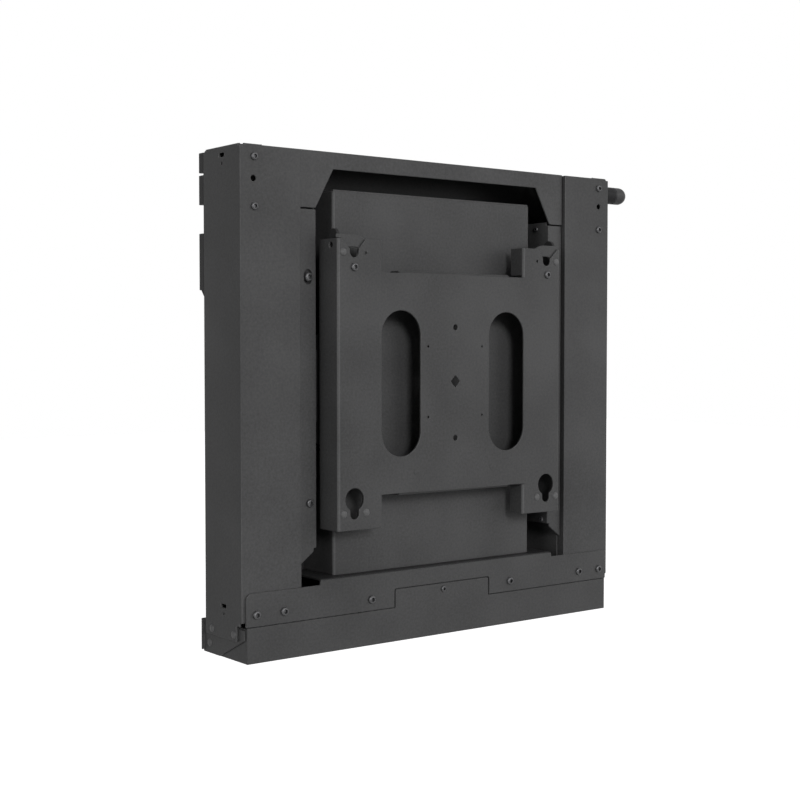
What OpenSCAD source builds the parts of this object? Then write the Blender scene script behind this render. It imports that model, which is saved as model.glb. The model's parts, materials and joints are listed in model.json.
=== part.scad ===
/* [Frame] */
// Width over the two side channels
frame_w = 381.4; // [377:0.2:420]
// Depth of a side channel from its front face to its back flange
channel_depth = 53.4; // [52.4:0.2:66]
// Depth of the return lip along a channel's inner edge
lip_depth = 8; // [4:0.5:9]
// Width of a channel's back flange
back_flange = 25; // [22:0.5:32]
// Sheet thickness of the channels
channel_t = 2; // [1.5:0.1:2.5]
// Sheet thickness of the panels, cover, tray and box
panel_t = 1.5; // [1:0.1:2]
// Standoff from the wall to the back flanges
wall_gap = 6.6; // [4.5:0.1:12]
// Thickness of the wall plate
plate_t = 2.5; // [2:0.1:4]

/* [TV bracket] */
// Side of the square pattern of the TV's mounting screws
vesa = 200; // [190:1:220]
// Diameter of the slots that take the TV's screws
stud_d = 8.2; // [6.4:0.1:8.6]
// Diameter of the round end of a keyhole
bulb_d = 17.5; // [14:0.5:19]
// Sheet thickness of the bracket
bracket_t = 2; // [1.5:0.1:3]
// Free depth between the channel fronts and the back of the bracket
bracket_gap = 15; // [13:0.5:24]
// Depth of the bracket's side flanges
flange_depth = 25.4; // [20:0.2:27]
// Width of the two long windows in the bracket
window_w = 38.5; // [24:0.5:42]
// Height of the two long windows in the bracket
window_h = 114.2; // [80:0.2:140]
// Distance from the middle line to the middle of a long window
window_x = 54.9; // [46:0.1:57]

/* [Front panels] */
// Height of the header's side legs
header_leg = 42.7; // [36:0.1:48]
// Height of the header's middle band
header_band = 12.3; // [8:0.1:16]
// Setback of the centre box's front behind the channel fronts
box_setback = 8; // [7:0.2:9]
// Height of the bottom cover at its sides
cover_h = 25.5; // [22:0.1:26]
// Rise of the cover's middle part above its sides
cover_rise = 3.5; // [1:0.1:5]
// Depth of the tray below the channel webs
tray_drop = 17.4; // [12:0.1:26]
// Half width of the tray's middle tab
tab_half = 49; // [30:1:60]
// Width of the strips between the window and the channels
strip_w = 15.6; // [14:0.1:20]

/* [Lift] */
// Travel of the bracket above its rest height
travel_up = 33; // [20:1:60]
// Travel of the bracket below its rest height
travel_down = 35; // [20:1:60]
// Diameter of the guide rods
rod_d = 10; // [8:0.5:12]
// Diameter of the lead screw
screw_d = 12; // [10:0.5:13]
// Teeth of the gear on the lead screw
gear_teeth = 36; // [32:1:36]
// Teeth of the motor pinion
pinion_teeth = 24; // [24:1:28]
// Diameter of the motor
motor_d = 36; // [28:0.5:37]
// Length of the motor without its gearbox
motor_len = 50; // [40:1:56]

/* [Latches] */
// Outer radius of a latch's fan about its pivot
latch_r = 24.8; // [22:0.1:24.8]
// Thickness of a latch
latch_t = 1.5; // [1:0.1:2]
// Diameter of the latch pivots
pivot_d = 5; // [4:0.1:6]

/* [Cable gland] */
// Outer diameter of the gland's body
gland_d = 15; // [13:0.5:17]
// Length of the gland outside the channel
gland_len = 31.4; // [24:0.2:40]
// Diameter of the gland's thread
gland_thread_d = 12; // [10:0.5:12]

/* [Hidden] */
$fn = 48;

// Colours
coat = "#4b4b4d";
coat_back = "#3a3a3c";
steel = "#9a9c9f";
black_plastic = "#1c1c1e";
rubber_black = "#161616";
zinc = "#b4b6b8";
bronze = "#a58350";
board_green = "#2d5a3c";

// Clearances
panel_gap = 0.8;
hole_gap = 0.15;
run_gap = 0.05;
slide_gap = 0.3;
bend_in = 0.5;
bend_edge = 0.6;

// Depths, from the wall at y = 0 towards the viewer
y_back = -wall_gap;
y_front = y_back - channel_depth;
y_panel = y_back - channel_t - panel_t;
y_strip = y_front + 4;
y_header = y_front + 3;
y_box = y_front + box_setback;
y_cover = y_front - panel_t;
y_sheet = y_front - bracket_gap;
y_bracket = y_sheet - bracket_t;
drive_y = (y_box + panel_t + y_panel) / 2;
rod_y = y_strip + 16;

// Bracket outline
vesa_half = vesa / 2;
ear_top = vesa_half + 10;
ear_low = -vesa_half - 12.6;
web_top = vesa_half - 13;
web_low = -vesa_half + 11.4;
bracket_half = vesa_half + 15.5;
ear_in = vesa_half - 26.7;
ear_flange = 14;
web_flange_half = ear_in - 15.7;
web_flange_depth = 10;

// Heights of the frame
z_top = ear_top + travel_up + 33;
z_web = ear_low - travel_down - 42.2;
z_peak = z_top + 0.7;
z_lid = z_top + 0.3;
z_head = z_top + 0.8;
z_seam = z_web + 9.8;
z_heel = z_web - 1.3;
z_cover = z_seam + cover_h;
z_crown = z_cover + cover_rise;
z_shelf = z_crown + 0.7;
z_tray = z_web - tray_drop;
z_foot = z_seam + 2;
z_leg = z_top - header_leg;
z_band = z_top - header_band;
z_box = z_top - 26.7;
z_strip_top = z_leg - 0.9;
z_strip_low = z_cover + 16;
z_panel_low = z_cover - 12;

// Widths of the frame
half_w = frame_w / 2;
strip_in = bracket_half + 5.8;
panel_edge = strip_in + strip_w;
channel_in = panel_edge + panel_gap;
channel_face = half_w - channel_in;
header_slant = 15.7;
strip_chamfer = 11.3;
box_half = bracket_half - 12.8;
shelf_half = strip_in - 0.7;
cover_half = half_w - 2.7;
end_plate_t = 1.5;
end_plate_x = half_w - channel_t - end_plate_t;
tray_half = end_plate_x - 0.2;
tray_back = -1;

// Wall plate
hanger_x = half_w - 11.7;
hanger_top_z = z_top - 24.4;
hanger_low_z = z_web + 50;
wall_slot_x = hanger_x - 39;
wall_slot_z = 110;
wall_slot_w = 8.5;
wall_slot_len = 24;
plate_waist = hanger_x + 5;
plate_shoulder_z = z_top - 110;
spacer_d = 10;

// Channel fasteners and holes
channel_screw_x = half_w - 12.2;
channel_screw_zs = [z_top - 8.3, z_top - 44.8];
access_d = 4.5;
web_slot_y = y_front + 26.5;

// Lift carriage
side_t = 3;
side_out = bracket_half - bracket_t;
side_in = side_out - side_t;
horn_y = y_sheet + 8;
horn_r = 6;
horn_top = ear_top + 7.8;
slide_top = 30;
slide_low = -40;
slide_in = strip_in + 2.7;
rod_x = strip_in + 12.7;
slide_half_x = rod_x - slide_in;
slide_half_y = 9.5;
arm_half_y = 6;
arm_top = 25;
arm_low = -30;
bush_r = rod_d / 2 + 2.5;
bush_len = 20;
bush_flange = 2;
beam_half_z = 13;
beam_half_y = 6;
bumper_h = 4;
rod_block_half = 7;
rod_block_top = slide_top + travel_up + 17.9;
rod_block_low = slide_low - travel_down - 16.6;
strip_screw_x = strip_in + 6.8;

// Lead screw, gears and motor
nut_r = screw_d / 2 + 3;
nut_flange_r = nut_r + 5;
nut_flange_h = 4;
nut_low = -19;
gear_top = nut_low - travel_down - 9;
gear_h = 10;
gear_low = gear_top - gear_h;
gear_module = 1;
gear_distance = gear_module * (gear_teeth + pinion_teeth) / 2;
pressure_angle = 20;
backlash = 0.14;
pinion_bore = 3;
bearing_r = screw_d / 2 + 2.5;
bearing_h = 8;
screw_low = gear_low - 11;
screw_top_block = beam_half_z + nut_flange_h + travel_up + 16;
motor_plate_top = gear_low - 2.5;
motor_plate_t = 2.5;
gearbox_len = 19.5;
gearbox_top = motor_plate_top - motor_plate_t;

// Latches
pivot_x = vesa_half + 0.4;
pivot_z = vesa_half - 11.5;
latch_in_r = 15.5;
latch_a0 = 55.5;
latch_a1 = 132;
latch_y = y_sheet + 0.2;
rivet_dx = 10.6;
rivet_z = vesa_half - 0.5;

// Cover and tray fasteners
cover_screw_xs = [half_w - 11.7, channel_in + 0.315 * channel_face, 0.71 * box_half];
cover_screw_z = z_seam + 9.2;
tab_top = z_seam + 15;
tab_screw_z = z_seam + 10.1;
notch_half = tab_half + 0.9;
end_rivets_web = [[y_front + 43.2, z_web + 3.5], [y_front + 11.6, z_web + 3.6]];
end_rivet_tray = [y_front + 50.5, z_web - 8.8];

// Cable gland
gland_y = y_front + 12;
gland_z = z_top - 12.1;

// Control board, power supply and limit switches
board_w = 0.68 * box_half;
board_h = 62;
board_x = -box_half + 10.7;
board_z = z_box - 12 - board_h;
board_y = y_panel - 8;
board_t = 1.6;
post_in = 4;
post_r = 3;
supply_out = -0.8 * tray_half;
supply_in = -0.16 * tray_half;
supply_h = tray_drop + 0.7;
rib_pitch = 8;
switch_x = 0.58 * box_half;
switch_w = 20;
switch_h = 10;
switch_d = 10;

// Direction of a plane vector
function unit(v) = v / norm(v);

// A solid sheet from depth y backwards, drawn as x and z
module front_plate(y, t) {
    translate([0, y + t, 0]) rotate([90, 0, 0]) linear_extrude(t) children();
}

// A solid sheet from x outwards, drawn as y and z
module side_plate(x, t) {
    translate([x, 0, 0]) rotate([90, 0, 90]) linear_extrude(t) children();
}

// A solid between two heights, drawn as x and y
module upright(z0, z1) {
    translate([0, 0, z0]) linear_extrude(z1 - z0) children();
}

// A box from its lowest to its highest corner
module block(low, high) {
    translate(low) cube(high - low);
}

// A rectangle from its lowest to its highest corner
module area(low, high) {
    translate(low) square(high - low);
}

// A shape and its mirror image across the middle plane
module both_sides() {
    children();
    mirror([1, 0, 0]) children();
}

// A round rod along Y from y0 to y1
module rod_along_y(x, z, y0, y1, r) {
    translate([x, y1, z]) rotate([90, 0, 0]) cylinder(h = y1 - y0, r = r);
}

// A round rod along X from x0 to x1
module rod_along_x(y, z, x0, x1, r) {
    translate([x0, y, z]) rotate([0, 90, 0]) cylinder(h = x1 - x0, r = r);
}

// An upright slot with round ends, w wide and h high over all
module tall_slot(w, h) {
    square([w, h - w], center = true);
    for (s = [-1, 1]) translate([0, s * (h - w) / 2]) circle(d = w);
}

// A level slot with round ends, w long and h high over all
module long_slot(w, h) {
    rotate(90) tall_slot(h, w);
}

// A rectangle with round corners
module round_area(low, high, r) {
    area([low[0] + r, low[1]], [high[0] - r, high[1]]);
    area([low[0], low[1] + r], [high[0], high[1] - r]);
    for (x = [low[0] + r, high[0] - r]) for (z = [low[1] + r, high[1] - r]) translate([x, z]) circle(r);
}

// The section of a sheet bent square along a path of middle points, with sharper outer edges where edge is given
module bent_sheet(path, t, r, edge = 0) {
    mid = r + t / 2;
    last = len(path) - 1;
    for (i = [0:last - 1]) {
        run = unit(path[i + 1] - path[i]);
        start = path[i] + (i > 0 ? mid : 0) * run;
        end = path[i + 1] - (i < last - 1 ? mid : 0) * run;
        translate(start) rotate(atan2(run[1], run[0])) translate([0, -t / 2]) square([norm(end - start), t]);
    }
    for (i = [1:last - 1]) {
        side = unit(path[i] - path[i - 1]) - unit(path[i + 1] - path[i]);
        translate(path[i] - mid * side) rotate(atan2(side[1], side[0]) - 45) if (edge > 0) difference() {
            square(r + t);
            circle(r);
            translate([r + t - edge, r + t - edge]) difference() {
                square(edge + 1);
                circle(edge);
            }
        } else intersection() {
            difference() {
                circle(r + t);
                circle(r);
            }
            square(r + t);
        }
    }
}

// A pan head screw along Y, its head in front of the seat
module screw_y(x, z, seat, head_d, shank_d, shank_len) {
    head_h = head_d * 0.32;
    translate([x, seat, z]) rotate([90, 0, 0]) {
        difference() {
            union() {
                cylinder(h = head_h / 2, d = head_d);
                translate([0, 0, head_h / 2]) cylinder(h = head_h / 2, r1 = head_d / 2, r2 = head_d / 3);
            }
            translate([0, 0, head_h * 0.45]) cylinder(h = head_h, d = head_d / 2, $fn = 6);
        }
        translate([0, 0, -shank_len]) cylinder(h = shank_len, d = shank_d);
    }
}

// A domed rivet along Z, its dome above the seat
module rivet(head_r, shank_r, shank_len) {
    dome = 1.2;
    ball = (head_r * head_r + dome * dome) / (2 * dome);
    rotate_extrude() {
        intersection() {
            translate([0, dome - ball]) circle(ball);
            square([head_r, dome + 1]);
        }
        translate([0, -shank_len]) square([shank_r, shank_len]);
    }
}

// A domed rivet along Y, its dome in front of the seat
module rivet_y(x, z, seat, head_r, shank_r, shank_len) {
    translate([x, seat, z]) rotate([90, 0, 0]) rivet(head_r, shank_r, shank_len);
}

// A domed rivet along X, its dome outside the seat on the right-hand side
module rivet_x(y, z, seat, head_r, shank_r, shank_len) {
    translate([seat, y, z]) rotate([0, 90, 0]) rivet(head_r, shank_r, shank_len);
}

// Wall plate: bolted to the wall first, the frame is screwed to it through spacers
module wall_plate() color(coat_back) {
    difference() {
        union() {
            front_plate(-plate_t, plate_t) {
                area([-half_w, plate_shoulder_z + 5], [half_w, z_top - 1]);
                area([-plate_waist, hanger_low_z - 10], [plate_waist, plate_shoulder_z + 10]);
            }
            both_sides() side_plate(half_w - plate_t, plate_t) {
                area([y_back, z_top - 16.2], [-plate_t, z_top - 1]);
                area([y_back, z_top - 40.3], [-plate_t, z_top - 18]);
                polygon([
                    [-plate_t, plate_shoulder_z + 5], [-plate_t, z_top - 62],
                    [y_back, z_top - 62], [y_back, plate_shoulder_z]
                ]);
            }
        }
        both_sides() front_plate(-plate_t - 1, plate_t + 2) {
            for (z = [-wall_slot_z, wall_slot_z])
                translate([wall_slot_x, z]) long_slot(wall_slot_len, wall_slot_w);
            round_area([24, -78], [112, 72], 8);
            area([half_w - plate_t - 4, z_top - 62], [half_w + 1, z_top - 40.3]);
            area([half_w - plate_t - 4, z_top - 18], [half_w + 1, z_top - 16.2]);
        }
        both_sides() for (z = [hanger_low_z, hanger_top_z]) rod_along_y(hanger_x, z, -plate_t - 1, 1, 2.5);
    }
}

// Spacers: turned bosses between the wall plate and the channels' back flanges
module wall_spacers() color(zinc) {
    both_sides() for (z = [hanger_low_z, hanger_top_z]) difference() {
        rod_along_y(hanger_x, z, y_back, -plate_t, spacer_d / 2);
        rod_along_y(hanger_x, z, y_back - 1, 0, 2.5);
    }
}

// Hanger screws: driven from inside the channels into the spacers
module hanger_screws() color(zinc) {
    both_sides() for (z = [hanger_low_z, hanger_top_z])
        screw_y(hanger_x, z, y_panel, 9, 5 - 2 * hole_gap, wall_gap + channel_t + panel_t - 0.5);
}

// Back panel: closes the frame behind the lift and carries its parts
module back_panel() color(coat_back) {
    edge = half_w - channel_t - 0.8;
    difference() {
        front_plate(y_panel, panel_t) round_area([-edge, z_panel_low], [edge, z_head - panel_t - 0.5], 3);
        both_sides() front_plate(y_panel - 1, panel_t + 2) {
            for (z = [-wall_slot_z, wall_slot_z])
                translate([wall_slot_x, z]) long_slot(wall_slot_len + 12, wall_slot_w + 8);
        }
        both_sides() for (z = [hanger_low_z, hanger_top_z])
            rod_along_y(hanger_x, z, y_panel - 1, y_back, 2.5);
    }
}

// Side channel: a bent C with a return lip, a back flange and a folded top
module channel() {
    difference() {
        union() {
            upright(z_heel, z_peak) bent_sheet([
                [half_w - back_flange, y_back - channel_t / 2],
                [half_w - channel_t / 2, y_back - channel_t / 2],
                [half_w - channel_t / 2, y_front + channel_t / 2],
                [channel_in + channel_t / 2, y_front + channel_t / 2],
                [channel_in + channel_t / 2, y_front + lip_depth]
            ], channel_t, bend_in, bend_edge);
            block([channel_in + channel_t, y_front + channel_t, z_lid - channel_t], [half_w - channel_t, y_panel, z_lid]);
        }
        // the front face is a little lower than the web at the top
        block([channel_in - 1, y_front - 1, z_lid], [half_w - 19, y_back + 1, z_peak + 1]);
        // small relief where the face, the web and the top meet
        block([half_w - 3.5, y_front - 1, z_peak - 1.5], [half_w + 1, y_front + 2.6, z_peak + 1]);
        // below the foot only the web goes on, set back at its front
        block([channel_in - 1, y_front - 1, z_heel - 1], [half_w - channel_t, 0, z_foot]);
        block([half_w - channel_t - 4, y_front - 1, z_foot - 2.5], [half_w + 1, y_front + 3.5, z_foot + 1.6]);
        block([half_w - channel_t - 4, y_front - 1, z_heel - 1], [half_w + 1, y_front + 8, z_foot - 1.5]);
        // the top rear corner of the web is cut off
        side_plate(half_w - channel_t - 1, channel_t + 2)
            polygon([[y_back + 1, z_peak - 3], [y_back + 1, z_peak + 1], [y_back - 6, z_peak + 1]]);
        for (z = channel_screw_zs) rod_along_y(channel_screw_x, z, y_front - 1, y_front + 3, 2);
        rod_along_y(channel_screw_x + 0.5, hanger_top_z, y_front - 1, y_front + 3, access_d / 2);
        for (x = [cover_screw_xs[0], cover_screw_xs[1]]) rod_along_y(x, cover_screw_z, y_front - 1, y_front + 3, 1.65);
        for (z = [hanger_low_z, hanger_top_z]) rod_along_y(hanger_x, z, y_panel - 1, y_back + 1, 2.5);
        for (z = [z_top - 5.6, z_web + 23]) side_plate(half_w - channel_t - 1, channel_t + 2)
            translate([web_slot_y, z]) square([7.3, 2.8], center = true);
        for (z = [z_top - 11.9, z_web + 17]) rod_along_x(web_slot_y, z, half_w - channel_t - 1, half_w + 1, 1.1);
        for (p = end_rivets_web) rod_along_x(p[0], p[1], half_w - channel_t - 1, half_w + 1, 2);
    }
}

module left_channel() color(coat) mirror([1, 0, 0]) channel();

module right_channel() color(coat) difference() {
    channel();
    rod_along_x(gland_y, gland_z, half_w - channel_t - 1, half_w + 1, gland_thread_d / 2);
}

// Backing plate: the tapped plate behind a channel's face that its two screws hold
module backing_plate() {
    y = y_front + channel_t;
    inner = max(half_w - 32, channel_in + channel_t + 1);
    difference() {
        front_plate(y, 2) round_area([inner, z_top - 52], [half_w - 6.2, z_lid - channel_t - 1], 2);
        for (z = channel_screw_zs) rod_along_y(channel_screw_x, z, y - 1, y + 3, 1.65);
        rod_along_y(channel_screw_x + 0.5, hanger_top_z, y - 1, y + 3, access_d / 2 + 1);
    }
}

module left_backing_plate() color(coat_back) mirror([1, 0, 0]) backing_plate();

module right_backing_plate() color(coat_back) backing_plate();

// Header: the upper front panel with its raised cut-out, folded back over the top
module header() color(coat) {
    leg_in = strip_in + 0.8;
    difference() {
        side_plate(-panel_edge, 2 * panel_edge) bent_sheet([
            [y_header + panel_t / 2, z_leg], [y_header + panel_t / 2, z_head - panel_t / 2],
            [y_panel, z_head - panel_t / 2]
        ], panel_t, bend_in, bend_edge);
        front_plate(y_header - 1, panel_t + 2) polygon([
            [-leg_in, z_leg - 1], [-leg_in, z_leg], [header_slant - leg_in + 0.8, z_band],
            [leg_in - header_slant - 0.8, z_band], [leg_in, z_leg], [leg_in, z_leg - 1]
        ]);
    }
}

// Strip: the narrow front panel beside a channel, with its wall inside the window and a leg at its foot
module strip() {
    wall_x = strip_in + panel_t / 2;
    lid_y = y_strip + panel_t + bend_in + 0.5;
    z_knee = z_strip_low + strip_chamfer + 0.8;
    leg_top = rod_block_low - rod_block_half - 5;
    leg_low = z_cover - 8;
    difference() {
        union() {
            upright(z_strip_low - 2, z_strip_top + 3) bent_sheet([
                [panel_edge, y_strip + panel_t / 2], [wall_x, y_strip + panel_t / 2], [wall_x, y_panel]
            ], panel_t, bend_in, bend_edge);
            block([panel_edge - panel_t, y_strip + 0.2, leg_low], [panel_edge, y_panel, leg_top]);
        }
        block([strip_in - 1, y_strip - 1, z_strip_low - 3], [strip_in + panel_t + 1, y_panel + 1, z_knee]);
        block([strip_in - 1, y_strip - 1, z_strip_top], [panel_edge + 1, lid_y, z_strip_top + 5]);
        front_plate(y_strip - 1, lid_y - y_strip + 1) polygon([
            [strip_in - 1, z_knee], [panel_edge + 1, z_strip_low - 1],
            [panel_edge + 1, leg_low - 1], [strip_in - 1, leg_low - 1]
        ]);
        block(
            [strip_in - 1, rod_y - arm_half_y - 2, arm_low - travel_down - 7],
            [strip_in + panel_t + 1, rod_y + arm_half_y + 2, arm_top + travel_up + 12]
        );
        front_plate(y_strip - 1, panel_t + 2) translate([strip_screw_x + 0.4, rod_block_top]) tall_slot(6.8, 11.4);
        rod_along_y(strip_screw_x - 0.5, rod_block_low, y_strip - 1, y_strip + panel_t + 1, 2);
        rod_along_x(y_front + 18.8, z_strip_top - 2.4, strip_in - 1, strip_in + panel_t + 1, 1.65);
        rod_along_x(y_front + 10.9, z_strip_low + 15.3, strip_in - 1, strip_in + panel_t + 1, 1.65);
    }
}

module left_strip() color(coat) mirror([1, 0, 0]) strip();

module right_strip() color(coat) strip();

// Base shelf: the floor of the window, with a front flange that carries the cover
module base_shelf() color(coat_back) {
    difference() {
        side_plate(-shelf_half, 2 * shelf_half) bent_sheet([
            [y_front + panel_t / 2, z_foot + 2], [y_front + panel_t / 2, z_shelf - panel_t / 2],
            [y_panel, z_shelf - panel_t / 2]
        ], panel_t, bend_in, bend_edge);
        both_sides() rod_along_y(cover_screw_xs[2], cover_screw_z, y_front - 1, y_front + panel_t + 1, 1.65);
        rod_along_y(0, tab_screw_z, y_front - 1, y_front + panel_t + 1, 1.65);
        translate([gear_distance, drive_y, z_shelf - panel_t - 1]) cylinder(h = panel_t + 2, d = motor_d + 3);
        translate([-60, drive_y, z_shelf - panel_t - 1]) cylinder(h = panel_t + 2, d = 16);
    }
}

// Bottom cover: the flat plate across both channels, notched for the tray's tab
module bottom_cover() color(coat) {
    difference() {
        front_plate(y_cover, panel_t) difference() {
            area([-cover_half, z_seam + 0.2], [cover_half, z_crown]);
            both_sides() {
                polygon([
                    [strip_in + 0.3, z_cover], [strip_in - 0.3, z_crown], [strip_in - 0.3, z_crown + 1],
                    [cover_half + 1, z_crown + 1], [cover_half + 1, z_cover]
                ]);
                difference() {
                    area([cover_half - 5, z_cover - 5], [cover_half + 1, z_cover + 1]);
                    translate([cover_half - 5, z_cover - 5]) circle(5);
                }
            }
        }
        front_plate(y_cover - 1, panel_t + 2) union() {
            area([-notch_half, z_seam - 1], [notch_half, tab_top - 1.8]);
            area([2 - notch_half, z_seam - 1], [notch_half - 2, tab_top + 0.2]);
            both_sides() translate([notch_half - 2, tab_top - 1.8]) circle(2);
        }
        both_sides() rod_along_y(cover_screw_xs[0], cover_screw_z, y_cover - 1, y_front + 1, 2);
        for (x = [cover_screw_xs[1], cover_screw_xs[2]]) both_sides() front_plate(y_cover - 1, panel_t + 2)
            translate([x, cover_screw_z]) long_slot(6.4, 4);
    }
}

// Bottom tray: the folded trough under the frame that holds the power supply
module bottom_tray() color(coat) {
    difference() {
        union() {
            side_plate(-tray_half, 2 * tray_half) bent_sheet([
                [y_cover + panel_t / 2, z_seam - 0.2], [y_cover + panel_t / 2, z_tray + panel_t / 2],
                [tray_back - panel_t / 2, z_tray + panel_t / 2], [tray_back - panel_t / 2, z_cover - 13]
            ], panel_t, bend_in, bend_edge);
            front_plate(y_cover, panel_t) union() {
                area([-tab_half, z_seam - 1], [tab_half, tab_top - 2]);
                area([2 - tab_half, z_seam - 1], [tab_half - 2, tab_top - 0.4]);
                both_sides() translate([tab_half - 2, tab_top - 2.4]) circle(2);
            }
            both_sides() side_plate(tray_half - panel_t, panel_t) polygon([
                [y_cover + panel_t - 0.5, z_seam - 1], [y_cover + panel_t - 0.5, z_tray + panel_t],
                [tray_back - panel_t, z_tray + panel_t], [tray_back - panel_t, z_tray + 14], [y_cover + 25, z_seam - 1]
            ]);
        }
        rod_along_y(0, tab_screw_z, y_cover - 1, y_front + 1, 2);
        both_sides() rod_along_x(end_rivet_tray[0], end_rivet_tray[1], tray_half - panel_t - 1, tray_half + 1, 2);
    }
}

// End plate: riveted inside a channel's web, reaches back to the wall and closes the tray's end
module end_plate() {
    top = z_foot + 6;
    under = z_foot - 3.8;
    low = z_tray + 0.5;
    front = y_front + 9;
    difference() {
        union() {
            side_plate(end_plate_x, end_plate_t) polygon([
                [-0.2, under + 1], [y_panel, under + 1], [y_panel, top], [front, top],
                [front, under], [y_front + 0.3, under], [y_front + 0.3, z_web + 0.2], [y_front + 36, low], [-0.2, low]
            ]);
            block([end_plate_x, -1.6, low + 1.6], [half_w + 0.1, -0.2, under + 1]);
        }
        for (p = concat(end_rivets_web, [end_rivet_tray]))
            rod_along_x(p[0], p[1], end_plate_x - 1, half_w, 2);
    }
}

module left_end_plate() color(coat_back) mirror([1, 0, 0]) end_plate();

module right_end_plate() color(coat_back) end_plate();

// Centre box: the folded housing over the motor and the lead screw
module centre_box() color(coat) {
    difference() {
        union() {
            upright(z_shelf, z_box - panel_t) bent_sheet([
                [-box_half + panel_t / 2, y_panel], [-box_half + panel_t / 2, y_box + panel_t / 2],
                [box_half - panel_t / 2, y_box + panel_t / 2], [box_half - panel_t / 2, y_panel]
            ], panel_t, 1);
            block([-box_half + 1, y_box + 1, z_box - panel_t], [box_half - 1, y_panel, z_box]);
        }
        both_sides() block(
            [box_half - panel_t - 1, drive_y - beam_half_y - 2, -beam_half_z - travel_down - 5],
            [box_half + 1, drive_y + beam_half_y + 2, beam_half_z + travel_up + 5]
        );
    }
}

// Guide rods: ground steel rods that the slide blocks run on
module guide_rods() color(steel) both_sides() translate([rod_x, rod_y, rod_block_low - rod_block_half - 1.4])
    cylinder(h = rod_block_top - rod_block_low + 2 * rod_block_half + 4.4, d = rod_d);

// Rod blocks: they clamp the rod ends and take the strip screws
module rod_blocks() color(coat_back) {
    both_sides() for (z = [rod_block_low, rod_block_top]) difference() {
        upright(z - rod_block_half, z + rod_block_half) union() {
            area([strip_in + panel_t, rod_y - 10], [rod_x + 13, rod_y + 12]);
            area([strip_in + panel_t + 1, y_strip + panel_t], [panel_edge - 1.5, rod_y - 9]);
            area([rod_x + 2, rod_y + 11], [rod_x + 13, y_panel]);
        }
        translate([rod_x, rod_y, z - rod_block_half - 1]) cylinder(h = 2 * rod_block_half + 2, d = rod_d);
        rod_along_y(strip_screw_x + 0.4, z, y_strip, y_strip + panel_t + 9, 1.65);
    }
}

// Bumpers: rubber rings on the rods that stop the carriage softly
module rod_bumpers() color(rubber_black) {
    zs = [rod_block_low + rod_block_half, rod_block_top - rod_block_half - bumper_h];
    both_sides() for (z = zs) translate([rod_x, rod_y, z]) difference() {
        cylinder(h = bumper_h, r = rod_d / 2 + 3);
        translate([0, 0, -1]) cylinder(h = bumper_h + 2, d = rod_d);
    }
}

// Bearing blocks: brackets on the back panel for the lead screw's two ends
module screw_bearing_blocks() color(coat_back) {
    right_edge = [min(13, gear_distance - motor_d / 2 - 1.5), 16];
    lows = [screw_low, screw_top_block];
    for (i = [0, 1]) difference() {
        upright(lows[i], lows[i] + bearing_h) area([-16, drive_y - 13], [right_edge[i], y_panel]);
        translate([0, drive_y, lows[i] - 1]) cylinder(h = bearing_h + 2, r = bearing_r);
    }
}

// Bearings: the rings that the lead screw turns in
module screw_bearings() color(steel) {
    for (z = [screw_low, screw_top_block]) translate([0, drive_y, z]) difference() {
        cylinder(h = bearing_h, r = bearing_r);
        translate([0, 0, -1]) cylinder(h = bearing_h + 2, r = screw_d / 2 + run_gap);
    }
}

// Motor: the drawn can with its end cap and two terminals
module motor() color(steel) translate([gear_distance, drive_y, gearbox_top - gearbox_len - motor_len]) {
    difference() {
        cylinder(h = motor_len, d = motor_d);
        for (z = [5, motor_len - 6]) translate([0, 0, z]) difference() {
            cylinder(h = 1, d = motor_d + 1);
            translate([0, 0, -1]) cylinder(h = 3, d = motor_d - 1.2);
        }
    }
}

// Gearbox: the planetary reduction on the motor's upper end
module motor_gearbox() color(zinc) translate([gear_distance, drive_y, gearbox_top - gearbox_len]) {
    cylinder(h = gearbox_len - 2, d = motor_d - 1);
    translate([0, 0, gearbox_len - 2]) cylinder(h = 2, d = motor_d - 6);
    for (a = [0:90:270]) rotate(a + 45) translate([motor_d / 2 - 1.5, 0, 2]) cylinder(h = gearbox_len - 6, r = 1.2);
}

// Motor bracket: the angle that hangs the gearbox from the back panel
module motor_bracket() color(coat_back) {
    x0 = gear_distance - motor_d / 2 + 1;
    x1 = gear_distance + motor_d / 2 + 3;
    difference() {
        side_plate(x0, x1 - x0) bent_sheet([
            [drive_y - 16, motor_plate_top - motor_plate_t / 2], [y_panel - motor_plate_t / 2, motor_plate_top - motor_plate_t / 2],
            [y_panel - motor_plate_t / 2, motor_plate_top + 24]
        ], motor_plate_t, 1);
        translate([gear_distance, drive_y, gearbox_top - 1]) cylinder(h = motor_plate_t + 2, r = 6);
        translate([gear_distance, drive_y, gear_low - 1.5]) cylinder(h = 28, r = pinion_teeth * gear_module / 2 + 2.2);
    }
}

// Control board: the receiver and driver board with its parts
module control_board() color(board_green) translate([board_x, board_y, board_z]) {
    block([0, 0, 0], [board_w, board_t, board_h]);
    block([6, -12, 8], [26, 0, 24]);
    block([32, -9, 8], [48, 0, 30]);
    block([52, -4, 34], [64, 0, 46]);
    for (x = [10, 22]) rod_along_y(x, 48, -14, 0, 4.5);
}

// Standoffs: they hold the board off the back panel
module board_standoffs() color(zinc) {
    for (x = [board_x + post_in, board_x + board_w - post_in])
        for (z = [board_z + post_in, board_z + board_h - post_in])
            rod_along_y(x, z, board_y + board_t, y_panel, post_r);
}

// Power supply: the slim ribbed case in the tray
module power_supply() color(black_plastic) {
    low = z_tray + panel_t;
    difference() {
        block([supply_out, y_front + 8, low], [supply_in, -14, low + supply_h]);
        for (x = [supply_out + rib_pitch:rib_pitch:supply_in - rib_pitch])
            block([x, y_front + 7, low + supply_h - 1.5], [x + 3, -13, low + supply_h + 1]);
    }
}

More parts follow.
